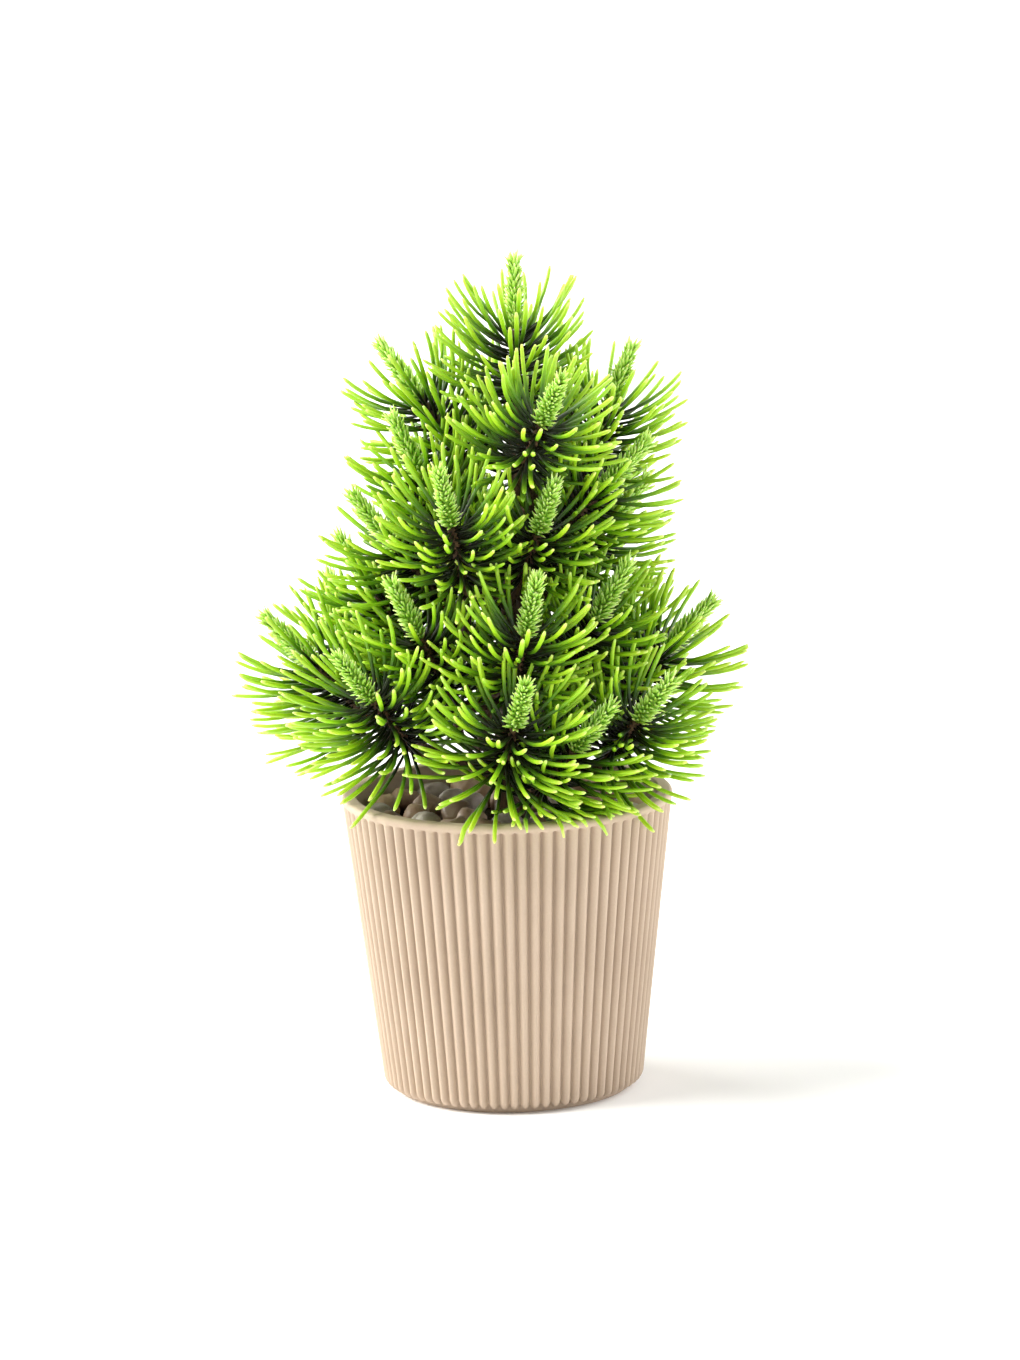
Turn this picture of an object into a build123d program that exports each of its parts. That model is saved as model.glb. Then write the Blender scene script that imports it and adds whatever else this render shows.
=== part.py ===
from build123d import *

import os
from math import cos, pi, radians, sin

import numpy as np

# Artificial tabletop pine in a ribbed pot: millimetres, +Z up, origin at the centre of the pot's underside.
#
# A ribbed pot holds a cement ballast, a foam plug, a glue bed and a layer of pebbles. The trunk is a plastic
# sleeve moulded on a steel wire and clamped in the ballast by an anchor washer. Twelve branches stand in
# knuckles on the trunk. Each branch is a plastic-covered wire stem that ends in up to three tips, and each
# tip carries a stack of needle whorls and a bristled candle. Azimuth 0 is the front (-Y), 90 the right (+X).

os.makedirs("parts", exist_ok=True)

# ---------------------------------------------------------------- pot and filling
POT_HEIGHT = 100.0
POT_TOP_RADIUS = 55.0  # over the rib crests
POT_BASE_RADIUS = 43.0
WALL = 5.0
FLOOR = 6.0
RIB_COUNT = 76
RIB_DEPTH = 1.3
RIB_SHARE = 0.74  # of the pitch; the groove between two ribs has the rest
GROOVE_DEPTH = 0.35  # of the concave groove, below the ribs' feet
RIM_BAND = 2.6  # smooth band above the ribs
RIM_OUTER_FILLET = 1.5
RIM_INNER_FILLET = 0.8
FOOT_RADIUS = 39.5
FOOT_HEIGHT = 1.5
HEEL_RADIUS = 3.2  # round-over where the ribs turn under
HEEL_CLEAR = 0.4  # by which the round-over starts outside the rib crests
FIT_GAP = 0.15  # between the fillings and the pot's wall

BALLAST_TOP = 34.0
PLUG_TOP = 84.0
BED_TOP = 87.5

PEBBLE_RINGS = ((42.4, 20), (29.6, 14), (17.0, 8))  # ring radius, stones in it
PEBBLE_LONG = 6.1  # largest half length
PEBBLE_THICK = 4.9  # largest half thickness
PEBBLE_KINDS = ("tan", "grey", "brown")

# ---------------------------------------------------------------- trunk
TRUNK_LEAN = 6.5  # sideways drift of the trunk by the time it meets the leader
TRUNK_FOOT = 34.4
TRUNK_SHOULDER = 228.0
LEADER_TOP = 254.0
TRUNK_RADII = (4.2, 3.9, 3.4, 2.9, 2.3)  # evenly spaced from the glue bed to just below the shoulder
TRUNK_WIRE_RADIUS = 1.0
WIRE_FOOT = 9.0
WASHER_RADIUS = 9.0
WASHER_THICK = 1.5
KNUCKLE_RADIUS = 2.9
KNUCKLE_RISE = 20.0  # degrees above the horizontal
HINGE_REACH = 8.5  # from the trunk's axis to a branch's bending point
CUP_LIP = 0.8  # by which the cup reaches past the bending point

# ---------------------------------------------------------------- branches
STEM_RADIUS = 1.5
WIRE_RADIUS = 0.6
ROOT_BALL = 2.1
CUP_GAP = 0.3
BORE_GAP = 0.05
TIP_LENGTH = 26.0  # straight stretch of stem that carries the whorls
WHORLS = 6
WHORL_STEP = 4.2
WHORL_FIRST = 2.4  # from the candle's seat back to the first whorl
COLLAR_RADIUS = 2.3
COLLAR_LENGTH = 3.0
NEEDLES = 9
NEEDLE_LENGTH = 30.0
NEEDLE_WIDTH = 1.5
NEEDLE_THICK = (1.3, 1.7, 0.8)  # root, middle, tip
SPREAD_FRONT = (60.0, 20.0)  # angle from the stem at root and tip, whorl next to the candle
SPREAD_BACK = (98.0, 50.0)  # the same, last whorl
CANDLE_LENGTH = 25.0
CANDLE_RADIUS = 2.9
CANDLE_SCALES = 9
SOCKET_DEPTH = 4.5
FORKS_AT = (0.3, 0.55)  # shares of the first stem's curve where the side shoots leave it
FORK_BALL = 1.9  # swelling moulded round a fork
WIRE_START = 0.25  # share of a side shoot's curve where its own wire starts

# room that the needles keep
TOUCH_GAP = 2.5  # by which a needle stays nearer its own stem than a neighbour's
FAR_ENOUGH = 16.0  # a neighbour this much farther away is never reached
SHARES = (1.0, 0.78, 0.58, 0.4)  # lengths that a needle may be moulded to
POT_CLEAR = 1.6  # above the rim and the pebbles

# root height, root azimuth, [(tip position, tip azimuth, tip elevation), ...], downward and upward bend;
# angles in degrees
BRANCHES = {
    "branch_01": (103.0, 3.0, [((3, -52, 132), 14, 46), ((22, -38, 121), 50, 45)], 0, 6),
    "branch_02": (109.0, -52.0, [((-43, -32, 138), -40, 46)], 0, 6),
    "branch_03": (104.0, -98.0, [((-62, 2, 143), -95, 46), ((-50, 38, 146), -140, 56)], 0, 6),
    "branch_04": (108.0, 52.0, [((43, -31, 129), 40, 42), ((30, -17, 160), 60, 56)], 0, 6),
    "branch_05": (103.0, 110.0, [((53, -2, 146), 92, 45), ((37, 36, 146), 142, 46)], 0, 6),
    "branch_06": (
        109.0,
        180.0,
        [((-20, 54, 131), -166, 45), ((20, 56, 128), 164, 45), ((0, 46, 157), 178, 56)],
        0,
        6,
    ),
    "branch_07": (
        133.0,
        -108.0,
        [((-41, 6, 166), -104, 56), ((-18, 40, 180), -158, 55), ((-34, -8, 184), -78, 52)],
        -4,
        5,
    ),
    "branch_08": (128.0, -8.0, [((7, -43, 160), 24, 62), ((-27, -25, 157), -46, 58)], -4, 5),
    "branch_09": (
        150.0,
        122.0,
        [((33, 8, 185), 100, 46), ((20, 42, 174), 160, 48), ((28, 27, 205), 132, 52)],
        -4,
        5,
    ),
    "branch_10": (162.0, -9.0, [((12, -27, 191), 24, 52), ((-16, -38, 196), -16, 58)], -5, 5),
    "branch_11": (
        192.0,
        50.0,
        [((14, -36, 228), 24, 46), ((36, 2, 226), 84, 68), ((33, -13, 202), 74, 46)],
        -5,
        5,
    ),
    "branch_12": (
        190.0,
        -125.0,
        [((-25, 16, 229), -112, 52), ((10, 34, 220), 165, 54), ((-25, -6, 206), -75, 66)],
        -5,
        5,
    ),
}


def direction(azimuth, elevation):
    """Unit vector at an azimuth from the front and an elevation above the horizontal, in degrees."""
    a, e = radians(azimuth), radians(elevation)
    return Vector(sin(a) * cos(e), -cos(a) * cos(e), sin(e))


def crest(z):
    """Radius over the rib crests at a height."""
    return POT_BASE_RADIUS + (POT_TOP_RADIUS - POT_BASE_RADIUS) * z / POT_HEIGHT


def export(part, name):
    part.part.label = name
    export_step(part.part, f"parts/{name}.step")


# ================================================================ pot
def rib_outline(radius):
    """Closed outline of convex ribs and narrow concave grooves whose crests lie on a circle."""
    pitch = 2 * pi / RIB_COUNT
    depth = RIB_DEPTH * radius / POT_TOP_RADIUS
    groove = GROOVE_DEPTH * radius / POT_TOP_RADIUS

    def at(r, turn):
        return (r * cos(turn), r * sin(turn))

    for n in range(RIB_COUNT):
        start = (n - RIB_SHARE / 2) * pitch
        end = (n + RIB_SHARE / 2) * pitch
        ThreePointArc(at(radius - depth, start), at(radius, n * pitch), at(radius - depth, end))
        ThreePointArc(
            at(radius - depth, end),
            at(radius - depth - groove, (n + 0.5) * pitch),
            at(radius - depth, (n + 1 - RIB_SHARE / 2) * pitch),
        )


band_bottom = POT_HEIGHT - RIM_BAND
with BuildPart() as pot:
    for height in (0.0, band_bottom):
        with BuildSketch(Plane.XY.offset(height)):
            with BuildLine():
                rib_outline(crest(height))
            make_face()
    loft(ruled=True)
    # foot, rounded heel and cavity
    heel_top = FOOT_HEIGHT + HEEL_RADIUS
    heel = crest(heel_top) + HEEL_CLEAR
    with BuildSketch(Plane.XZ):
        with BuildLine():
            Polyline((0, FLOOR), (0, 0), (FOOT_RADIUS, 0), (FOOT_RADIUS, FOOT_HEIGHT))
            Line((FOOT_RADIUS, FOOT_HEIGHT), (heel - HEEL_RADIUS, FOOT_HEIGHT))
            RadiusArc((heel - HEEL_RADIUS, FOOT_HEIGHT), (heel, heel_top), -HEEL_RADIUS)
            Line((heel, heel_top), (crest(band_bottom) + HEEL_CLEAR, band_bottom))
            Line((crest(band_bottom) + HEEL_CLEAR, band_bottom), (crest(band_bottom) - WALL, band_bottom))
            Polyline((crest(band_bottom) - WALL, band_bottom), (crest(FLOOR) - WALL, FLOOR), (0, FLOOR))
        make_face()
    revolve(axis=Axis.Z, mode=Mode.INTERSECT)
    # smooth rim band, which closes the grooves at the top
    outer_start = (POT_TOP_RADIUS, POT_HEIGHT - RIM_OUTER_FILLET)
    outer_end = (POT_TOP_RADIUS - RIM_OUTER_FILLET, POT_HEIGHT)
    inner_start = (POT_TOP_RADIUS - WALL + RIM_INNER_FILLET, POT_HEIGHT)
    inner_end = (POT_TOP_RADIUS - WALL, POT_HEIGHT - RIM_INNER_FILLET)
    with BuildSketch(Plane.XZ):
        with BuildLine():
            Polyline((crest(band_bottom) - WALL, band_bottom), (crest(band_bottom), band_bottom), outer_start)
            RadiusArc(outer_start, outer_end, -RIM_OUTER_FILLET)
            Line(outer_end, inner_start)
            RadiusArc(inner_start, inner_end, -RIM_INNER_FILLET)
            Line(inner_end, (crest(band_bottom) - WALL, band_bottom))
        make_face()
    revolve(axis=Axis.Z)
export(pot, "pot")


def filling(bottom, top, bore):
    """Tapered disc that fits the pot's cavity between two heights, with a hole for the trunk."""
    with BuildPart() as disc:
        with BuildSketch(Plane.XZ):
            with BuildLine():
                Polyline(
                    (bore, bottom),
                    (crest(bottom) - WALL - FIT_GAP, bottom),
                    (crest(top) - WALL - FIT_GAP, top),
                    (bore, top),
                    close=True,
                )
            make_face()
        revolve(axis=Axis.Z)
    return disc


trunk_hole = TRUNK_RADII[0] + BORE_GAP
wire_hole = TRUNK_WIRE_RADIUS + BORE_GAP
ballast = filling(FLOOR, BALLAST_TOP, wire_hole)
with ballast:
    # pocket that the cement leaves around the anchor washer
    with Locations((0, 0, WIRE_FOOT + WASHER_THICK / 2)):
        Cylinder(WASHER_RADIUS, WASHER_THICK, mode=Mode.SUBTRACT)
export(ballast, "cement_ballast")
export(filling(BALLAST_TOP + FIT_GAP, PLUG_TOP, trunk_hole), "foam_plug")
export(filling(PLUG_TOP + FIT_GAP, BED_TOP, trunk_hole), "glue_bed")

with BuildPart() as washer:
    with Locations((0, 0, WIRE_FOOT + WASHER_THICK / 2)):
        Cylinder(WASHER_RADIUS, WASHER_THICK)
        Cylinder(wire_hole, WASHER_THICK, mode=Mode.SUBTRACT)
export(washer, "anchor_washer")


# ================================================================ pebbles
stones = []
for ring_radius, count in PEBBLE_RINGS:
    for n in range(count):
        mix = len(stones) * 0.618  # steps that never repeat, for size and turn
        turn = 360 * n / count + 0.7 * sin(2.4 * len(stones))
        length = PEBBLE_LONG * (0.86 + 0.14 * (mix % 1))
        thick = PEBBLE_THICK * (0.84 + 0.16 * ((mix * 1.7) % 1))
        centre = Vector(ring_radius, 0, BED_TOP + thick + 0.02).rotate(Axis.Z, turn)
        stones.append((centre, turn + 90 + 20 * sin(5.1 * len(stones)), length, thick))
for k, kind in enumerate(PEBBLE_KINDS):
    with BuildPart() as pebbles:
        for centre, yaw, length, thick in stones[k :: len(PEBBLE_KINDS)]:
            # an egg-round stone is a half ellipse turned about its long axis
            long_axis = Vector(cos(radians(yaw)), sin(radians(yaw)), 0)
            with BuildSketch(Plane(centre, x_dir=long_axis, z_dir=long_axis.cross(Vector(0, 0, 1)))):
                Ellipse(length, thick)
                with Locations((0, -thick)):
                    Rectangle(2 * length, 2 * thick, mode=Mode.SUBTRACT)
            revolve(axis=Axis(centre, long_axis))
    export(pebbles, f"pebbles_{kind}")


# ================================================================ skeleton of the tree
def trunk_point(z):
    """The trunk's axis: upright in the pot, then drifting sideways by a smooth half wave."""
    t = min(max((z - POT_HEIGHT) / (TRUNK_SHOULDER - POT_HEIGHT), 0), 1)
    return Vector(TRUNK_LEAN * (1 - cos(pi * t)) / 2, 0, z)


class Tip:
    """One straight tip: its candle seat, its direction and the point where its whorls start."""

    def __init__(self, seat, azimuth, elevation):
        self.seat = Vector(*seat)
        self.out = direction(azimuth, elevation)
        self.base = self.seat - self.out * TIP_LENGTH
        self.side = Vector(cos(radians(azimuth)), sin(radians(azimuth)), 0)
        self.up = self.out.cross(self.side)
        self.top = self.seat + self.out * CANDLE_LENGTH


def bend_points(start, start_out, tip):
    """Control points of the curve that leaves start along start_out and arrives along the tip."""
    pull = (tip.base - start).length * 0.4
    return [start, start + start_out * pull, tip.base - tip.out * pull, tip.base]


def curve_at(points, t):
    """Point of a cubic Bezier curve."""
    a, b, c, d = points
    return a * (1 - t) ** 3 + b * (3 * t * (1 - t) ** 2) + c * (3 * t * t * (1 - t)) + d * t**3


def rest_of(points, t):
    """Control points of the part of a cubic Bezier curve that lies beyond t."""
    a, b, c, d = points
    ab, bc, cd = a + (b - a) * t, b + (c - b) * t, c + (d - c) * t
    abc, bcd = ab + (bc - ab) * t, bc + (cd - bc) * t
    return [abc + (bcd - abc) * t, bcd, cd, d]


class Branch:
    """Root, bending point, limits, tips, stem curves and wire curves of one branch."""

    def __init__(self, name, root_z, azimuth, tips, low, high):
        self.name = name
        self.limits = (low, high)
        self.out = direction(azimuth, KNUCKLE_RISE)
        self.hinge = trunk_point(root_z) + self.out * HINGE_REACH
        # a positive turn about this axis lifts the branch
        self.axis = direction(azimuth, 0).cross(Vector(0, 0, 1))
        self.tips = [Tip(*tip) for tip in tips]
        self.curves = [bend_points(self.hinge, self.out, self.tips[0])]
        for tip, fork_at in zip(self.tips[1:], FORKS_AT):
            # a side shoot leaves the first stem on the way and turns at once towards its own tip
            fork = curve_at(self.curves[0], fork_at)
            along = (curve_at(self.curves[0], fork_at + 0.05) - fork).normalized()
            across = (tip.base - fork).normalized()
            self.curves.append(bend_points(fork, (along + across * 2).normalized(), tip))
        # a side shoot has a wire of its own, which stops short of the first
        self.wires = self.curves[:1] + [rest_of(curve, WIRE_START) for curve in self.curves[1:]]


branches = [Branch(name, *row) for name, row in BRANCHES.items()]
leader = Tip((TRUNK_LEAN, 0, LEADER_TOP), 0, 90)


# ================================================================ room for each needle
def runs_of(points):
    """Straight runs between successive points."""
    line = np.array([list(point) for point in points])
    return np.stack([line[:-1], line[1:]], axis=1)


def curve_runs(curve):
    return runs_of([curve_at(curve, n / 8) for n in range(9)])


def tip_runs(tip):
    return runs_of([tip.base, tip.top])


def bent(points, branch, angle):
    """Points, or the ends of runs, carried by a bend of the branch in degrees."""
    axis, hinge = np.array(list(branch.axis)), np.array(list(branch.hinge))
    arm, a = points - hinge, radians(angle)
    along = (arm @ axis)[..., None] * axis
    return hinge + arm * cos(a) + np.cross(axis, arm) * sin(a) + along * (1 - cos(a))


def distance(points, runs):
    """Shortest distance from each point to a set of straight runs."""
    start, along = runs[:, 0], runs[:, 1] - runs[:, 0]
    offset = points[:, None, :] - start[None]
    share = np.clip((offset * along).sum(2) / (along * along).sum(1), 0, 1)
    return np.linalg.norm(offset - share[..., None] * along, axis=2).min(1)


# stems of each body as straight runs, at rest and bent to its limits
trunk_runs = runs_of([trunk_point(z) for z in range(90, 229, 6)])
ROOM = {"leader": {0: np.concatenate([trunk_runs, tip_runs(leader)])}}
for branch in branches:
    curves = [curve_runs(curve) for curve in branch.curves]
    runs = np.concatenate(curves + [tip_runs(tip) for tip in branch.tips])
    ROOM[branch.name] = {angle: bent(runs, branch, angle) for angle in (0, *branch.limits)}


def angle_pairs(body, other):
    """Bends of two bodies that can occur together: each alone, and both low or both high."""
    own, mate = list(ROOM[body]), list(ROOM[other])
    return {(a, 0) for a in own} | {(0, b) for b in mate} | set(zip(own[-2:], mate[-2:]))


def clears_neighbours(points, body, branch):
    """True while the points stay nearer their own body's stems than any other body's, over the travel."""
    own = distance(points, ROOM[body][0])
    for other, room in ROOM.items():
        if other == body:
            continue
        if (distance(points, room[0]) - own).min() > FAR_ENOUGH:
            continue
        for own_angle, other_angle in angle_pairs(body, other):
            at = bent(points, branch, own_angle) if branch else points
            if (distance(at, room[other_angle]) - own).min() < TOUCH_GAP:
                return False
    return True


def clears_mates(points, tip, branch):
    """True while the points stay nearer their own tip than the branch's other tips and off its stems."""
    own = distance(points, tip_runs(tip))
    for mate, curve in zip(branch.tips, branch.curves):
        if (distance(points, curve_runs(curve)) < STEM_RADIUS + 1.2).any():
            return False
        if mate is not tip and (distance(points, tip_runs(mate)) - own < TOUCH_GAP).any():
            return False
    return True


def clears_pot(points, branch):
    """True while the points stay above the rim and the pebbles over the travel."""
    for angle in branch.limits:
        at = bent(points, branch, angle)
        over_rim = np.hypot(at[:, 0], at[:, 1]) > POT_TOP_RADIUS - WALL - POT_CLEAR
        if (at[:, 2] < np.where(over_rim, POT_HEIGHT, BED_TOP + 2 * PEBBLE_THICK) + POT_CLEAR).any():
            return False
    return True


def needle_line(back, length):
    """Centreline of a needle of the whorl that is back steps from the candle: a circular arc in the whorl's
    radial plane, as a function of the share of its length and of a sideways offset."""
    part_back = back / (WHORLS - 1)
    first, last = (radians(f + (b - f) * part_back) for f, b in zip(SPREAD_FRONT, SPREAD_BACK))
    radius = NEEDLE_LENGTH / (first - last)
    turn = length / radius

    def at(part, offset=0.0):
        a = first - turn * part
        return (
            COLLAR_RADIUS * 0.8 + (radius + offset) * cos(a) - radius * cos(first),
            radius * sin(first) - (radius + offset) * sin(a),
        )

    return at


def needle_share(tip, origin, outward, back, body, branch):
    """Longest share of the full length that leaves a needle free, or None."""
    for share in SHARES:
        at = needle_line(back, NEEDLE_LENGTH * share)
        line = [origin + outward * r + tip.out * f for r, f in (at(n / 6) for n in range(2, 7))]
        points = np.array([list(point) for point in line])
        free = clears_neighbours(points, body, branch)
        if free and branch:
            free = clears_pot(points, branch) and clears_mates(points, tip, branch)
        if free:
            return share
    return None


# ================================================================ whorls and candles
def needle_side(back, length):
    """Lines of the side view of one curved needle, thickest in the middle and blunt at the tip."""
    at = needle_line(back, length)
    root, middle, tip = (thick / 2 for thick in NEEDLE_THICK)
    ThreePointArc(at(0, root), at(0.5, middle), at(1, tip))
    Line(at(1, tip), at(1, -tip))
    ThreePointArc(at(1, -tip), at(0.5, -middle), at(0, -root))
    Line(at(0, -root), at(0, root))


def whorl(tip, back, body, branch):
    """One moulded whorl: a collar that slides on the stem and a ring of curved needles."""
    origin = tip.seat - tip.out * (WHORL_FIRST + WHORL_STEP * back)
    planes = {share: [] for share in SHARES}
    for n in range(NEEDLES):
        turn = 2 * pi * (n + 0.382 * back) / NEEDLES
        outward = tip.side * cos(turn) + tip.up * sin(turn)
        share = needle_share(tip, origin, outward, back, body, branch)
        if share:
            planes[share].append(Plane(origin, x_dir=outward, z_dir=outward.cross(tip.out)))
    with BuildPart() as ring:
        with BuildSketch(Plane(origin - tip.out * COLLAR_LENGTH / 2, z_dir=tip.out)):
            Circle(COLLAR_RADIUS)
        extrude(amount=COLLAR_LENGTH)
        for share, where in planes.items():
            if where:
                with BuildSketch(*where):
                    with BuildLine():
                        needle_side(back, NEEDLE_LENGTH * share)
                    make_face()
                extrude(amount=NEEDLE_WIDTH / 2, both=True)
        with BuildSketch(Plane(origin - tip.out * COLLAR_LENGTH, z_dir=tip.out)):
            Circle(STEM_RADIUS + BORE_GAP)
        extrude(amount=2 * COLLAR_LENGTH, mode=Mode.SUBTRACT)
    return ring.part


def candle(tip, wire_radius):
    """Bristled new shoot: stacked rings of scales round a tapering core, with a socket for the wire."""
    step = (CANDLE_LENGTH - 3) / CANDLE_SCALES
    outline = [(0, 0), (STEM_RADIUS, 0)]
    for n in range(CANDLE_SCALES):
        swell = CANDLE_RADIUS * (1 - 0.45 * (n / CANDLE_SCALES) ** 2)
        outline += [(swell * 0.66, 1 + n * step), (swell, 1 + (n + 0.85) * step)]
    outline += [(0.7, CANDLE_LENGTH), (0, CANDLE_LENGTH)]
    with BuildPart() as shoot:
        with BuildSketch(Plane(tip.seat, x_dir=tip.side, z_dir=tip.side.cross(tip.out))):
            with BuildLine():
                Polyline(*outline, close=True)
            make_face()
        revolve(axis=Axis(tip.seat, tip.out))
        with BuildSketch(Plane(tip.seat, z_dir=tip.out)):
            Circle(wire_radius + BORE_GAP)
        extrude(amount=SOCKET_DEPTH + BORE_GAP, mode=Mode.SUBTRACT)
    return shoot.part


def export_group(solids, name):
    """Several loose solids of one kind in one file."""
    export_step(Compound(label=name, children=list(solids)), f"parts/{name}.step")


# ================================================================ trunk
def trunk_sections(radii, bottom, top):
    """Level circles along the trunk's axis, evenly spaced between two heights."""
    for radius, z in zip(radii, np.linspace(bottom, top, len(radii))):
        yield Plane(trunk_point(z)), radius


with BuildPart() as trunk:
    with BuildSketch(Plane.XY.offset(TRUNK_FOOT)):
        Circle(TRUNK_RADII[0])
    extrude(amount=BED_TOP - TRUNK_FOOT)
    for plane, radius in trunk_sections(TRUNK_RADII, BED_TOP, TRUNK_SHOULDER):
        with BuildSketch(plane):
            Circle(radius)
    loft()
    # leader's stem on a short cone
    for z, radius in ((TRUNK_SHOULDER, TRUNK_RADII[-1]), (TRUNK_SHOULDER + 1, STEM_RADIUS)):
        with BuildSketch(Plane((TRUNK_LEAN, 0, z))):
            Circle(radius)
    loft()
    with BuildSketch(Plane((TRUNK_LEAN, 0, TRUNK_SHOULDER + 1))):
        Circle(STEM_RADIUS)
    extrude(amount=LEADER_TOP - TRUNK_SHOULDER - 1)
    # knuckles, each with a round cup for the root of a branch
    for branch in branches:
        with BuildSketch(Plane(branch.hinge - branch.out * HINGE_REACH, z_dir=branch.out)):
            Circle(KNUCKLE_RADIUS)
        extrude(amount=HINGE_REACH + CUP_LIP)
    for branch in branches:
        with Locations(branch.hinge):
            Sphere(ROOT_BALL + CUP_GAP, mode=Mode.SUBTRACT)
    # bore for the wire
    bore = TRUNK_WIRE_RADIUS + BORE_GAP
    with BuildSketch(Plane.XY.offset(TRUNK_FOOT)):
        Circle(bore)
    extrude(amount=BED_TOP - TRUNK_FOOT, mode=Mode.SUBTRACT)
    for plane, radius in trunk_sections([bore] * 9, BED_TOP, TRUNK_SHOULDER):
        with BuildSketch(plane):
            Circle(radius)
    loft(mode=Mode.SUBTRACT)
    with BuildSketch(Plane((TRUNK_LEAN, 0, TRUNK_SHOULDER))):
        Circle(bore)
    extrude(amount=LEADER_TOP - TRUNK_SHOULDER, mode=Mode.SUBTRACT)
export(trunk, "trunk")

with BuildPart() as trunk_wire:
    with BuildSketch(Plane.XY.offset(WIRE_FOOT)):
        Circle(TRUNK_WIRE_RADIUS)
    extrude(amount=BED_TOP - WIRE_FOOT)
    for plane, radius in trunk_sections([TRUNK_WIRE_RADIUS] * 9, BED_TOP, TRUNK_SHOULDER):
        with BuildSketch(plane):
            Circle(radius)
    loft()
    with BuildSketch(Plane((TRUNK_LEAN, 0, TRUNK_SHOULDER))):
        Circle(TRUNK_WIRE_RADIUS)
    extrude(amount=LEADER_TOP - TRUNK_SHOULDER + SOCKET_DEPTH)
export(trunk_wire, "trunk_wire")

export_group((whorl(leader, back, "leader", None) for back in range(WHORLS)), "leader_needles")
export_group([candle(leader, TRUNK_WIRE_RADIUS)], "leader_candle")


# ================================================================ branches
def stem_path(curve, tip, beyond=0.0):
    """Curve of a stem and its straight tip, running on past the candle's seat when asked."""
    with BuildLine() as path:
        Bezier(*curve)
        Line(tip.base, tip.seat + tip.out * beyond)
    return path.wires()[0]


def rods_along(curves, tips, radius, beyond=0.0):
    """Round rods of one radius that follow curves and then straight tips."""
    rods = []
    for curve, tip in zip(curves, tips):
        with BuildPart() as rod:
            with BuildSketch(Plane(curve[0], z_dir=curve[1] - curve[0])):
                Circle(radius)
            sweep(path=stem_path(curve, tip, beyond))
        rods.append(rod.part)
    return rods


for branch in branches:
    with BuildPart() as stem:
        with Locations(branch.hinge):
            Sphere(ROOT_BALL)
        for curve in branch.curves[1:]:
            with Locations(curve[0]):
                Sphere(FORK_BALL)
        add(rods_along(branch.curves, branch.tips, STEM_RADIUS))
        add(rods_along(branch.wires, branch.tips, WIRE_RADIUS + BORE_GAP, SOCKET_DEPTH), mode=Mode.SUBTRACT)
    export(stem, f"{branch.name}_stem")
    with BuildPart() as wire:
        add(rods_along(branch.wires, branch.tips, WIRE_RADIUS, SOCKET_DEPTH))
    export(wire, f"{branch.name}_wire")
    rings = [whorl(tip, back, branch.name, branch) for tip in branch.tips for back in range(WHORLS)]
    export_group(rings, f"{branch.name}_needles")
    export_group([candle(tip, WIRE_RADIUS) for tip in branch.tips], f"{branch.name}_candle")
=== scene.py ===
import math

import bpy
import numpy as np
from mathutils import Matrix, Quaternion, Vector


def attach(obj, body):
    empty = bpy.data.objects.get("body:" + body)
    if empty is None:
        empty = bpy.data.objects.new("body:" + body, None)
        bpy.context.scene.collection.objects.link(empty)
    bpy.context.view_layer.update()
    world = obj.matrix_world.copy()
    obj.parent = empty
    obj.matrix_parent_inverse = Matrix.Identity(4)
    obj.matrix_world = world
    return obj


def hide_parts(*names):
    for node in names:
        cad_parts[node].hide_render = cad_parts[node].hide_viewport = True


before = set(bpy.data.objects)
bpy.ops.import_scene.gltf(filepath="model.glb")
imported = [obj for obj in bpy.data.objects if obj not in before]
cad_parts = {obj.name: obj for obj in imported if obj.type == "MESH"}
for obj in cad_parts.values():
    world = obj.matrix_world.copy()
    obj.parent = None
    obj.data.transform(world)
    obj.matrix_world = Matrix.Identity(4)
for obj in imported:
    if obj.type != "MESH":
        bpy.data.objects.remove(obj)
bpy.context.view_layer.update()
rng = np.random.default_rng(28)
MM = 0.001

# ================================================================ sizes, in millimetres
POT_HEIGHT, RIM_RADIUS, BASE_RADIUS, WALL, FLOOR = 100.0, 55.0, 43.0, 5.0, 6.0
RIBS, RIB_DEPTH, RIB_HALF, GROOVE = 76, 1.45, 0.38, 0.55
FOOT_RADIUS, FOOT_HEIGHT, HEEL = 39.5, 1.5, 3.2
BAND, OUTER_ROUND, INNER_ROUND = 2.6, 1.5, 0.8
BED_TOP = 87.5
PEBBLE_RINGS = ((42.4, 20), (29.6, 14), (17.0, 8))
PEBBLE_LONG, PEBBLE_THICK = 6.1, 4.9
PEBBLE_KINDS = ("tan", "grey", "brown")
CANDLE_LENGTH, NEEDLE_LENGTH = 25.0, 31.0

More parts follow.
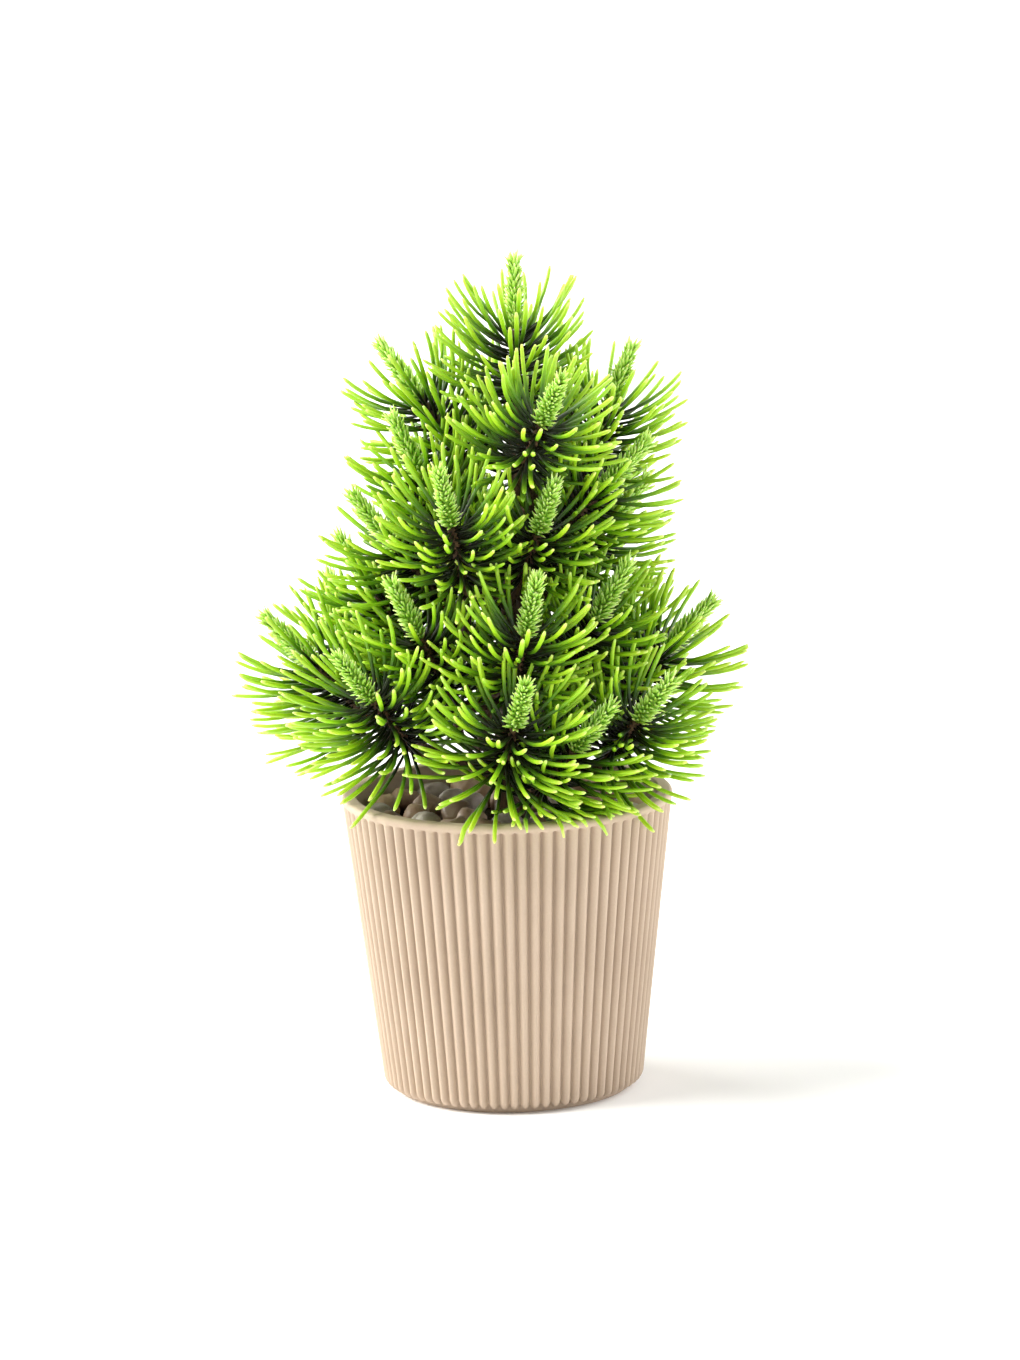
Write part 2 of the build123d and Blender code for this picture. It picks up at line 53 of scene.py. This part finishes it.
# candle seat, azimuth and elevation of every tip; azimuth 0 is the front and 90 the right
TIPS = {
    "leader": [((6.5, 0, 254), 0, 90)],
    "branch_01": [((3, -52, 132), 14, 46), ((22, -38, 121), 50, 45)],
    "branch_02": [((-43, -32, 138), -40, 46)],
    "branch_03": [((-62, 2, 143), -95, 46), ((-50, 38, 146), -140, 56)],
    "branch_04": [((43, -31, 129), 40, 42), ((30, -17, 160), 60, 56)],
    "branch_05": [((53, -2, 146), 92, 45), ((37, 36, 146), 142, 46)],
    "branch_06": [((-20, 54, 131), -166, 45), ((20, 56, 128), 164, 45), ((0, 46, 157), 178, 56)],
    "branch_07": [((-41, 6, 166), -104, 56), ((-18, 40, 180), -158, 55), ((-34, -8, 184), -78, 52)],
    "branch_08": [((7, -43, 160), 24, 62), ((-27, -25, 157), -46, 58)],
    "branch_09": [((33, 8, 185), 100, 46), ((20, 42, 174), 160, 48), ((28, 27, 205), 132, 52)],
    "branch_10": [((12, -27, 191), 24, 52), ((-16, -38, 196), -16, 58)],
    "branch_11": [((14, -36, 228), 24, 46), ((36, 2, 226), 84, 68), ((33, -13, 202), 74, 46)],
    "branch_12": [((-25, 16, 229), -112, 52), ((10, 34, 220), 165, 54), ((-25, -6, 206), -75, 66)],
}


# ================================================================ finishes
class Value:
    """A socket that takes part in sums; each operator adds one Math node."""

    def __init__(self, finish, socket):
        self.finish, self.socket = finish, socket

    def _math(self, operation, a, b):
        return self.finish.node("ShaderNodeMath", {"operation": operation}, {0: a, 1: b})

    def __add__(self, other):
        return self._math("ADD", self, other)

    def __sub__(self, other):
        return self._math("SUBTRACT", self, other)

    def __rsub__(self, other):
        return self._math("SUBTRACT", other, self)

    def __mul__(self, other):
        return self._math("MULTIPLY", self, other)

    __radd__, __rmul__ = __add__, __mul__


class Finish:
    """A material in the making: constants sit on the shader's sockets, varying values are linked to them."""

    def __init__(self, name, constants):
        self.material = bpy.data.materials.new(name)
        self.material.use_nodes = True
        self.tree = self.material.node_tree
        self.tree.nodes.clear()
        self.shader = self.tree.nodes.new("ShaderNodeBsdfPrincipled")
        output = self.tree.nodes.new("ShaderNodeOutputMaterial")
        self.tree.links.new(self.shader.outputs[0], output.inputs[0])
        for socket, value in constants.items():
            self.shader.inputs[socket].default_value = value

    def node(self, kind, settings=None, inputs=None, output=0):
        """Adds one node: settings first, with any ramp stops, then the values or links of its sockets."""
        made = self.tree.nodes.new(kind)
        for key, value in (settings or {}).items():
            if key == "stops":
                ramp = made.color_ramp.elements
                while len(ramp) < len(value):
                    ramp.new(0.5)
                for stop, (position, colour) in zip(ramp, value):
                    stop.position, stop.color = position, (*colour, 1)
            else:
                setattr(made, key, value)
        for key, value in (inputs or {}).items():
            self.put(made.inputs[key], value)
        return Value(self, made.outputs[output])

    def put(self, socket, value):
        if isinstance(value, Value):
            self.tree.links.new(value.socket, socket)
        else:
            socket.default_value = value

    def feed(self, socket, value):
        self.put(self.shader.inputs[socket], value)

    def place(self):
        return self.node("ShaderNodeTexCoord", output="Object")

    def attribute(self, name):
        return self.node("ShaderNodeAttribute", {"attribute_name": name}, output="Fac")

    def noise(self, scale, detail=3.0, roughness=0.55, where=None):
        inputs = {"Vector": where or self.place(), "Scale": scale, "Detail": detail, "Roughness": roughness}
        return self.node("ShaderNodeTexNoise", inputs=inputs)

    def ramp(self, factor, *stops):
        return self.node("ShaderNodeValToRGB", {"stops": stops}, {"Fac": factor})

    def blend(self, factor, a, b, how="MIX"):
        """Mix of two colours, each a link or an (r, g, b) triple."""
        a, b = (c if isinstance(c, Value) else (*c, 1) for c in (a, b))
        settings = {"data_type": "RGBA", "blend_type": how}
        return self.node("ShaderNodeMix", settings, {0: factor, 6: a, 7: b}, output=2)

    def bump(self, height, distance, strength=1.0):
        inputs = {"Height": height, "Distance": distance, "Strength": strength}
        self.feed("Normal", self.node("ShaderNodeBump", inputs=inputs))


SOFT_PLASTIC = {"Subsurface Weight": 0.12, "Subsurface Scale": 0.002}


def pot_finish():
    """Matt beige clay: fine sand grain, faint cloudy tone, and painted shade that makes the grooves a little
    darker and warmer.
    """
    clay = Finish("pot_matt_clay", {"Specular IOR Level": 0.35})
    cloud, grain = clay.noise(28), clay.noise(1500, 2)
    tone = clay.ramp(cloud * 0.7 + grain * 0.3, (0.3, (0.45, 0.345, 0.255)), (0.7, (0.53, 0.415, 0.315)))
    # painted shade: the depth of each groove darkens the clay towards a warm brown
    depth = clay.attribute("groove")
    clay.feed("Base Color", clay.blend(depth * 0.75, tone, (0.27, 0.195, 0.135)))
    clay.feed("Roughness", grain * 0.2 + 0.55)
    clay.bump(grain + cloud * 0.5, 0.00008, 0.5)
    return clay.material


def needle_finish():
    """Glossy moulded plastic: dark green root deepened to near black by painted shade, yellow-green on the
    way, pale blunt ends partly a painted highlight.
    """
    plastic = Finish("needle_moulded_green", {"Specular IOR Level": 0.5, **SOFT_PLASTIC})
    along, tint = plastic.attribute("along"), plastic.attribute("tint")
    streak = plastic.noise(420, 2)
    # painted shade and highlight: the near-black first stops stand for shade inside the crown, the pale last
    # stop partly for a highlight on the ends
    green = plastic.ramp(
        along + streak * 0.12 - 0.06,
        (0.0, (0.006, 0.006, 0.001)),
        (0.28, (0.009, 0.022, 0.001)),
        (0.52, (0.08, 0.22, 0.002)),
        (0.76, (0.30, 0.59, 0.012)),
        (0.95, (0.42, 0.71, 0.05)),
        (1.0, (0.58, 0.81, 0.20)),
    )
    warmer = plastic.blend(1.0, green, (1.25, 1.06, 1.0), "MULTIPLY")
    plastic.feed("Base Color", plastic.blend(tint, green, warmer))
    plastic.feed("Roughness", streak * 0.16 + 0.30)
    plastic.bump(streak, 0.00012, 0.35)
    return plastic.material


def candle_finish():
    """Young shoot: pale yellow-green bristles over a browner foot."""
    plastic = Finish("shoot_moulded_pale_green", {"Specular IOR Level": 0.45, **SOFT_PLASTIC})
    along, tint = plastic.attribute("along"), plastic.attribute("tint")
    patch = plastic.noise(600, 2)
    green = plastic.ramp(
        along * 0.7 + tint * 0.3,
        (0.05, (0.14, 0.27, 0.012)),
        (0.35, (0.32, 0.60, 0.05)),
        (0.7, (0.54, 0.82, 0.16)),
        (0.95, (0.80, 0.93, 0.40)),
    )
    plastic.feed("Base Color", green)
    plastic.feed("Roughness", patch * 0.2 + 0.32)
    plastic.bump(patch, 0.0001, 0.4)
    return plastic.material


def bark_finish():
    """Moulded bark: brown with darker furrows drawn out along the height."""
    bark = Finish("trunk_moulded_bark", {"Specular IOR Level": 0.4})
    drawn = bark.node("ShaderNodeMapping", inputs={"Vector": bark.place(), "Scale": (1, 1, 0.35)})
    furrow, fine = bark.noise(520, 4, 0.65, drawn), bark.noise(1700, 2)
    bark.feed("Base Color", bark.ramp(furrow, (0.35, (0.035, 0.018, 0.008)), (0.65, (0.15, 0.085, 0.04))))
    bark.feed("Roughness", fine * 0.25 + 0.5)
    bark.bump(furrow + fine * 0.3, 0.0006, 0.8)
    return bark.material


def stone_finish(name, dark, middle, light):
    """Tumbled stone: cloudy tone that differs from stone to stone, fine speckle, soft polish."""
    stone = Finish(name, {"Specular IOR Level": 0.5})
    cloud, speckle = stone.noise(120, 4), stone.noise(1400, 2)
    tone = stone.ramp(cloud * 0.55 + stone.attribute("tint") * 0.45, (0.2, dark), (0.5, middle), (0.8, light))
    stone.feed("Base Color", stone.blend(speckle * 0.35, tone, (0.12, 0.08, 0.06), "OVERLAY"))
    stone.feed("Roughness", cloud * 0.2 + 0.42)
    stone.bump(speckle * 0.4 + cloud, 0.00025, 0.5)
    return stone.material


def rough_finish(name, dark, light, scale, depth, constants):
    """Plain grainy finish for the fillings, the glue and the metal."""
    rough = Finish(name, constants)
    grain = rough.noise(scale, 4, 0.6)
    rough.feed("Base Color", rough.ramp(grain, (0.3, dark), (0.7, light)))
    rough.feed("Roughness", grain * 0.25 + constants.get("Roughness", 0.6))
    rough.bump(grain, depth, 0.7)
    return rough.material


needle_green, candle_green, bark = needle_finish(), candle_finish(), bark_finish()
cement = rough_finish("ballast_cement", (0.22, 0.21, 0.19), (0.42, 0.40, 0.37), 300, 0.0005, {})
foam = rough_finish("plug_foam", (0.62, 0.58, 0.44), (0.80, 0.76, 0.62), 900, 0.0004, {})
glue = rough_finish("bed_glue", (0.045, 0.03, 0.018), (0.16, 0.11, 0.07), 700, 0.0008, {})
bright = {"Metallic": 1.0, "Roughness": 0.25}
steel = rough_finish("wire_bright_steel", (0.45, 0.45, 0.45), (0.62, 0.62, 0.62), 500, 0.00005, bright)


# ================================================================ shapes
def mesh_piece(name, body, material, points, faces, attributes):
    """One piece from points in millimetres, faces and one value per point for each attribute."""
    mesh = bpy.data.meshes.new(name)
    mesh.from_pydata((points * MM).tolist(), [], faces)
    mesh.polygons.foreach_set("use_smooth", np.ones(len(mesh.polygons), dtype=bool))
    for key, values in attributes.items():
        mesh.attributes.new(key, "FLOAT", "POINT").data.foreach_set("value", values.astype(np.float32))
    mesh.materials.append(material)
    mesh.update()
    piece = bpy.data.objects.new(name, mesh)
    bpy.context.collection.objects.link(piece)
    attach(piece, body)
    return piece


def unit(v):
    return v / np.linalg.norm(v, axis=-1, keepdims=True)


def rods(lines, share, wide, deep, across, sides, tint):
    """Closed rods along many lines at once. Round each point of a line is an ellipse of the given corners,
    with half axes wide along `across` and deep along the normal of across and the line; both ends close on a
    pole. Returns points, faces and the values of along, the share of the length at each ring, and of tint."""
    count, rings = lines.shape[:2]
    share = np.broadcast_to(share, (count, rings))
    tangent = unit(np.gradient(lines, axis=1))
    normal = unit(np.cross(tangent, across[:, None]))
    side = np.cross(normal, tangent)
    turn = 2 * np.pi * np.arange(sides) / sides
    ellipse = (
        side[:, :, None] * (wide[..., None] * np.cos(turn))[..., None]
        + normal[:, :, None] * (deep[..., None] * np.sin(turn))[..., None]
    )
    ring = (lines[:, :, None] + ellipse).reshape(count, -1, 3)
    points = np.concatenate([ring, lines[:, :1], lines[:, -1:]], axis=1)
    r, s = np.meshgrid(np.arange(rings - 1), np.arange(sides), indexing="ij")
    t = (s + 1) % sides
    low, high = r * sides, r * sides + sides
    quads = np.stack([low + s, low + t, high + t, high + s], -1).reshape(-1, 4)
    s, t, last = s[0], t[0], (rings - 1) * sides
    foot, head = np.full(sides, rings * sides), np.full(sides, rings * sides + 1)
    caps = np.concatenate([np.stack([foot, t, s], -1), np.stack([head, last + s, last + t], -1)])
    start = (np.arange(count) * (rings * sides + 2))[:, None, None]
    faces = (quads + start).reshape(-1, 4).tolist() + (caps + start).reshape(-1, 3).tolist()
    along = np.concatenate([np.repeat(share, sides, axis=1), share[:, :1], share[:, -1:]], axis=1).ravel()
    return points.reshape(-1, 3), faces, along, np.repeat(tint, rings * sides + 2)


class Tip:
    """One tip's frame: candle seat, forward direction and two directions across it."""

    def __init__(self, seat, azimuth, elevation):
        a, e = math.radians(azimuth), math.radians(elevation)
        self.seat = np.array(seat, float)
        self.out = np.array([math.sin(a) * math.cos(e), -math.cos(a) * math.cos(e), math.sin(e)])
        self.side = np.array([math.cos(a), math.sin(a), 0.0])
        self.up = np.cross(self.out, self.side)

    def across(self, turn):
        return np.cos(turn)[:, None] * self.side + np.sin(turn)[:, None] * self.up


NEEDLES_PER_TIP = 96
NEEDLE_SHARES = np.array([0, 0.14, 0.31, 0.5, 0.68, 0.84, 0.95, 1.0])


def rest_on_pot(lines):
    """Raises what would run into the rim or the pebbles: the height above them is softened so that it never
    falls under a needle's thickness."""
    radius = np.hypot(lines[..., 0], lines[..., 1])
    inside = 1 / (1 + np.exp((radius - 47) / 1.0))
    outside = 1 / (1 + np.exp((60 - radius) / 1.2))
    floor = 100.9 - 2.6 * inside - 14 * outside
    above = lines[..., 2] - floor
    lines[..., 2] = floor + np.where(above > 12, above, 2.2 * np.log1p(np.exp(np.minimum(above, 12) / 2.2)))
    return lines


TIP_LENGTH = 26.0
KEEP_OFF = 3.0  # from the skin of another branch's stem or shoot
OVERLAP = 13.0  # by which a needle may be nearer to another branch's stems than to its own tip
TRIAL = np.linspace(0.3, 1, 15)


def skin_of(node):
    """Every tenth corner of a CAD part, in millimetres."""
    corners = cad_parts[node].data.vertices
    points = np.empty(len(corners) * 3, np.float32)
    corners.foreach_get("co", points)
    return points.reshape(-1, 3)[::10] / MM


def shoot_skin(tip):
    """Four lines of points round a shoot."""
    turn = np.tile(np.arange(4) * np.pi / 2, 9)
    height = np.repeat(np.linspace(0, CANDLE_LENGTH, 9), 4)
    radius = 3.2
    return tip.seat + np.outer(height, tip.out) + radius * tip.across(turn)


def nearest(points, obstacles):
    """Distance from each point to the nearest obstacle point."""
    square = (points**2).sum(1)[:, None] + (obstacles**2).sum(1) - 2 * points @ obstacles.T
    return np.sqrt(np.maximum(square, 0).min(1))


def free_share(tip, arcs, count, foreign, mates):
    """Longest share of each needle that stays off stems and shoots and out of the neighbours' room."""
    points = arcs(np.tile(TRIAL, (count, 1))).reshape(-1, 3)
    own = nearest(points, tip.seat + np.outer(np.linspace(-TIP_LENGTH, CANDLE_LENGTH, 35), tip.out))
    blocked = nearest(points, foreign) < np.maximum(KEEP_OFF, own - OVERLAP)
    if len(mates):
        blocked |= nearest(points, mates) < KEEP_OFF
    blocked = blocked.reshape(count, -1)
    return np.where(blocked.any(1), TRIAL[np.maximum(blocked.argmax(1) - 1, 0)], 1.0)


def needles_of(tip, count, low, foreign, mates):
    """Needles round a tip. Each leaves the stem at a steep angle and bends forward along a circular arc, more
    upright near the candle and wider at the back; successive ones are a golden angle apart. One that would
    run into a neighbour is moulded shorter."""
    n = np.arange(count)
    back = (n + 0.5) / count
    turn = n * 2.399963 + rng.normal(0, 0.12, count)
    first = np.radians(62 + 38 * back + rng.normal(0, 5, count))[:, None]
    last = np.radians(18 + (50 if low else 40) * back + rng.normal(0, 6, count))[:, None]
    length = NEEDLE_LENGTH * ((1.08 if low else 1.0) - 0.10 * (1 - back) + rng.normal(0, 0.045, count))
    radius = length[:, None] / (first - last)
    curl = rng.normal(0, 1.3, count)[:, None]
    across = tip.across(turn)
    sideways = np.cross(tip.out, across)
    root = tip.seat - tip.out * (0.8 + (26.0 if low else 23.0) * back)[:, None]

    def arcs(part):
        angle = first - (first - last) * part
        outward = 1.2 + radius * (np.cos(angle) - np.cos(first))
        forward = radius * (np.sin(first) - np.sin(angle))
        lines = root[:, None] + across[:, None] * outward[..., None] + tip.out * forward[..., None]
        lines = lines + sideways[:, None] * (curl * part**2)[..., None]
        return rest_on_pot(lines) if low else lines

    share = free_share(tip, arcs, count, foreign, mates)[:, None] * NEEDLE_SHARES
    lines = arcs(share)
    shape = np.interp(NEEDLE_SHARES, [0, 0.14, 0.5, 0.84, 0.95, 1], [0.58, 0.74, 0.94, 1.0, 0.88, 0.50])
    size = rng.normal(1, 0.06, count)[:, None]
    return rods(lines, share, 0.78 * shape * size, 0.68 * shape * size, sideways, 6, rng.random(count))


def joined(batches):
    """Several batches of rods as one."""
    start, points, faces, along, tint = 0, [], [], [], []
    for p, f, a, t in batches:
        points.append(p)
        faces += [[i + start for i in face] for face in f]
        along.append(a)
        tint.append(t)
        start += len(p)
    return np.concatenate(points), faces, {"along": np.concatenate(along), "tint": np.concatenate(tint)}


def candle_of(tip, slim):
    """A new shoot: a core with a slight belly under small pointed bristles, a golden angle apart, that lean
    forward, with a tuft of longer ones at the end."""
    share = np.linspace(0, 1, 14)
    girth = np.interp(share, [0, 0.08, 0.45, 0.9, 1], [1.2, 1.5, 1.6, 1.1, 0.6]) * slim
    core = (tip.seat + np.outer(share * (CANDLE_LENGTH - 2.5), tip.out))[None]
    batches = [rods(core, share, girth[None], girth[None], tip.side[None], 10, np.array([0.25]))]
    count = 170
    n = np.arange(count)
    height = (n + 0.5) / count
    turn = n * 2.399963 + rng.normal(0, 0.1, count)
    lean = np.radians(52 - 26 * height + rng.normal(0, 7, count))[:, None]
    across = tip.across(turn)
    way = across * np.sin(lean) + tip.out * np.cos(lean)
    length = 3.0 + 1.5 * rng.random(count) + 1.8 * np.clip(height - 0.86, 0, 1) / 0.14
    start = tip.seat + np.outer(height * (CANDLE_LENGTH - 3.0), tip.out)
    start = start + across * (np.interp(height, share, girth) - 0.35)[:, None]
    reach = np.linspace(0, 1, 3)
    lines = start[:, None] + way[:, None] * (length[:, None] * reach)[..., None]
    thick = np.tile([0.62, 0.52, 0.16], (count, 1))
    batches.append(rods(lines, reach, thick, thick * 0.8, np.cross(tip.out, across), 4, rng.random(count)))
    return batches


# ================================================================ tree
TREE = {name: [Tip(*row) for row in rows] for name, rows in TIPS.items()}
STEMS = {name: skin_of("trunk" if name == "leader" else f"{name}_stem") for name in TREE}
SHOOTS = {name: np.concatenate([shoot_skin(tip) for tip in tips]) for name, tips in TREE.items()}
for name, tips in TREE.items():
    body = "base" if name == "leader" else name
    low = max(tip.seat[2] for tip in tips) < 150
    count = 112 if low else NEEDLES_PER_TIP
    others = [other for other in TREE if other != name]
    foreign = np.concatenate([skins[other] for other in others for skins in (STEMS, SHOOTS)])
    batches = []
    for tip in tips:
        mates = [shoot_skin(mate) for mate in tips if mate is not tip]
        mates = np.concatenate(mates) if mates else np.zeros((0, 3))
        batches.append(needles_of(tip, count, low, foreign, mates))
    points, faces, values = joined(batches)
    tuft = mesh_piece(f"{name}_tuft", body, needle_green, points, faces, values)
    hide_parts(f"{name}_needles")
    slim = 0.82 if name == "leader" else 1.0
    points, faces, values = joined([batch for tip in tips for batch in candle_of(tip, slim)])
    shoot = mesh_piece(f"{name}_shoot", body, candle_green, points, faces, values)
    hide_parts(f"{name}_candle")


# ================================================================ pot
def crest(z):
    return BASE_RADIUS + (RIM_RADIUS - BASE_RADIUS) * z / POT_HEIGHT


def pot_piece():
    """The pot is a profile carried round its axis. The profile runs from the middle of the underside over the
    foot, heel, ribbed side, rim and inner wall to the middle of the floor. Across one pitch the
    ribs are parabolas that meet in cosine grooves, and this relief is laid along the profile's normal."""
    bend = np.linspace(0, math.pi / 2, 7)
    top = FOOT_HEIGHT + HEEL
    ribs_end = POT_HEIGHT - BAND
    side = np.concatenate([np.linspace(top, ribs_end - 0.7, 12)[1:], ribs_end + np.array([-0.35, 0, 0.4])])
    rows = [(0, 0, 0), (FOOT_RADIUS - 0.4, 0, 0), (FOOT_RADIUS, 0.4, 0), (FOOT_RADIUS, FOOT_HEIGHT, 0)]
    rows += [(crest(top) - HEEL + HEEL * math.sin(b), top - HEEL * math.cos(b), 1) for b in bend]
    rows += [(crest(z), z, w) for z, w in zip(side, [1] * 11 + [0.75, 0.2, 0])]
    edge, lip, inner = OUTER_ROUND, INNER_ROUND, RIM_RADIUS - WALL
    outer, top_turn = RIM_RADIUS - edge, POT_HEIGHT - edge
    rows += [(outer + edge * math.cos(b), top_turn + edge * math.sin(b), 0) for b in bend]
    rows += [(inner + lip - lip * math.sin(b), POT_HEIGHT - lip + lip * math.cos(b), 0) for b in bend]
    rows += [(crest(z) - WALL, z, 0) for z in (90, 60, 30, FLOOR + 1)]
    rows += [(crest(FLOOR) - WALL - 1, FLOOR, 0), (0, FLOOR, 0)]
    radius, height, weight = np.array(rows, float).T
    run, rise = np.gradient(radius), np.gradient(height)
    scale = np.hypot(run, rise)
    half = np.array([0.09, 0.19, 0.29, 0.37, 0.41, 0.455])
    across = np.concatenate([[-0.5], -half[::-1], [0.0], half])
    turn = ((np.arange(RIBS)[:, None] + across) * 2 * math.pi / RIBS).ravel()
    x = np.abs(np.tile(across, RIBS))
    groove = -RIB_DEPTH - GROOVE * np.cos(np.pi * (0.5 - x) / (1 - 2 * RIB_HALF))
    relief = np.where(x < RIB_HALF, -RIB_DEPTH * (x / RIB_HALF) ** 2, groove)
    depth = weight[:, None] * relief * (radius / RIM_RADIUS)[:, None]
    r = radius[:, None] + depth * (rise / scale)[:, None]
    z = height[:, None] - depth * (run / scale)[:, None]
    grid = np.stack([r * np.cos(turn), r * np.sin(turn), z], -1)[1:-1]
    around = len(turn)
    points = np.concatenate([grid.reshape(-1, 3), [[0, 0, 0], [0, 0, FLOOR]]])
    i, j = np.meshgrid(np.arange(len(grid) - 1), np.arange(around), indexing="ij")
    k = (j + 1) % around
    low, high = i * around, i * around + around
    faces = np.stack([low + j, low + k, high + k, high + j], -1).reshape(-1, 4).tolist()
    j, k, last = j[0], k[0], (len(grid) - 1) * around
    foot, floor = np.full(around, len(points) - 2), np.full(around, len(points) - 1)
    faces += np.stack([foot, k, j], -1).tolist() + np.stack([floor, last + j, last + k], -1).tolist()
    # groove depth, kept for the painted shade that the clay finish lays in the grooves
    shade = np.concatenate([(-depth / (RIB_DEPTH + GROOVE))[1:-1].ravel(), [0, 0]])
    return mesh_piece("ribbed_pot", "base", pot_finish(), points, faces, {"groove": np.clip(shade, 0, 1) ** 2})


pot = pot_piece()
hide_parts("pot")


# ================================================================ pebbles
def tumbled(points, seed):
    """Worn, uneven stones: a sum of a few long sine waves in random directions pushes the skin in and out."""
    waves = np.random.default_rng(seed)
    shift = np.zeros_like(points)
    for size in (17.0, 11.0, 8.0, 6.0, 4.5):
        way, push = unit(waves.normal(size=(2, 3)))
        phase = points @ way * 2 * np.pi / size + waves.random() * 6
        shift += np.sin(phase)[:, None] * push * size**0.5 * 0.21
    return points + shift


STONES = {
    "tan": ((0.34, 0.20, 0.12), (0.52, 0.35, 0.23), (0.68, 0.52, 0.38)),
    "grey": ((0.30, 0.25, 0.21), (0.50, 0.43, 0.37), (0.70, 0.64, 0.57)),
    "brown": ((0.20, 0.12, 0.08), (0.36, 0.23, 0.15), (0.54, 0.39, 0.28)),
}
places = []
for ring, count in PEBBLE_RINGS:
    for n in range(count):
        mix = len(places) * 0.618
        turn = math.radians(360 * n / count + 0.7 * math.sin(2.4 * len(places)))
        yaw = turn + math.radians(90 + 20 * math.sin(5.1 * len(places)))
        length = PEBBLE_LONG * (0.86 + 0.14 * (mix % 1))
        thick = PEBBLE_THICK * (0.84 + 0.16 * ((mix * 1.7) % 1))
        places.append((ring * math.cos(turn), ring * math.sin(turn), BED_TOP + thick, yaw, length, thick))
for k, kind in enumerate(PEBBLE_KINDS):
    x, y, z, yaw, length, thick = np.array(places[k :: len(PEBBLE_KINDS)]).T
    bend = np.linspace(-math.pi / 2, math.pi / 2, 13)[1:-1]
    axis = np.stack([np.cos(yaw), np.sin(yaw), 0 * yaw], -1)
    reach = np.concatenate([[-1], np.sin(bend), [1]])
    girth = np.concatenate([[0.12], np.cos(bend) ** 0.85, [0.12]])
    lines = np.stack([x, y, z], -1)[:, None] + axis[:, None] * (length[:, None] * reach)[..., None]
    up = np.tile([0.0, 0.0, 1.0], (len(x), 1))
    half = thick[:, None] * girth
    points, faces, along, tint = rods(lines, reach, half, half * 1.12, up, 16, rng.random(len(x)))
    finish = stone_finish(f"stone_{kind}", *STONES[kind])
    stones = mesh_piece(f"stones_{kind}", "base", finish, tumbled(points, k + 3), faces, {"tint": tint})
    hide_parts(f"pebbles_{kind}")

# ================================================================ CAD parts that stay
for node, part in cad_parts.items():
    for ending, material in {
        "trunk": bark, "_stem": bark, "_wire": steel, "washer": steel,
        "ballast": cement, "plug": foam, "bed": glue,
    }.items():
        if node.endswith(ending):
            part.data.materials.clear()
            part.data.materials.append(material)

# ================================================================ floor, light and camera
bpy.ops.mesh.primitive_plane_add(size=60)
floor = bpy.context.object
floor.name = "pale_floor"
paper = Finish("floor_white_paper", {"Roughness": 0.85, "Specular IOR Level": 0.2})
paper.feed("Base Color", paper.ramp(paper.noise(3), (0.3, (0.94, 0.94, 0.937)), (0.7, (0.945, 0.945, 0.942))))
floor.data.materials.append(paper.material)


def sun(name, azimuth, elevation, strength, softness, colour):
    """A soft distant light that comes from an azimuth and elevation in degrees."""
    light = bpy.data.lights.new(name, "SUN")
    light.energy, light.angle, light.color = strength, math.radians(softness), colour
    lamp = bpy.data.objects.new(name, light)
    a, e = math.radians(azimuth), math.radians(elevation)
    towards = Vector((-math.sin(a) * math.cos(e), math.cos(a) * math.cos(e), -math.sin(e)))
    lamp.rotation_euler = towards.to_track_quat("-Z", "Y").to_euler()
    bpy.context.collection.objects.link(lamp)


sun("key_left", -90, 48, 5.8, 46, (1.0, 0.985, 0.96))
sun("rim_left", -128, 14, 2.4, 24, (1.0, 1.0, 0.97))
sun("fill_right", 98, 36, 2.7, 60, (1.0, 1.0, 1.0))
world = bpy.data.worlds.new("studio")
world.use_nodes = True
# a bright backdrop near the horizon under a dimmer ceiling
nodes, links = world.node_tree.nodes, world.node_tree.links
way, height, ceiling = (nodes.new(f"ShaderNode{kind}") for kind in ("TexCoord", "SeparateXYZ", "ValToRGB"))
for stop, (position, grey) in zip(ceiling.color_ramp.elements, ((0.14, 1.0), (0.32, 0.24))):
    stop.position, stop.color = position, (grey, grey, grey, 1)
links.new(way.outputs["Generated"], height.inputs[0])
links.new(height.outputs["Z"], ceiling.inputs[0])
links.new(ceiling.outputs[0], nodes["Background"].inputs[0])
nodes["Background"].inputs[1].default_value = 1.0
bpy.context.scene.world = world
bpy.context.scene.view_settings.view_transform = "Standard"

DISTANCE, ELEVATION, ROLL = 2.0, math.radians(12.3), math.radians(1.4)
rim_middle = Vector((0, 0, POT_HEIGHT * MM))
camera_data = bpy.data.cameras.new("camera")
camera_data.lens = 159.35
camera = bpy.data.objects.new("camera", camera_data)
camera.location = rim_middle + DISTANCE * Vector((0, -math.cos(ELEVATION), math.sin(ELEVATION)))
view = (Vector((0.0019, 0.0078, 0.1357)) - camera.location).to_track_quat("-Z", "Y")
camera.rotation_euler = (view @ Quaternion((0, 0, 1), -ROLL)).to_euler()
bpy.context.collection.objects.link(camera)
bpy.context.scene.camera = camera
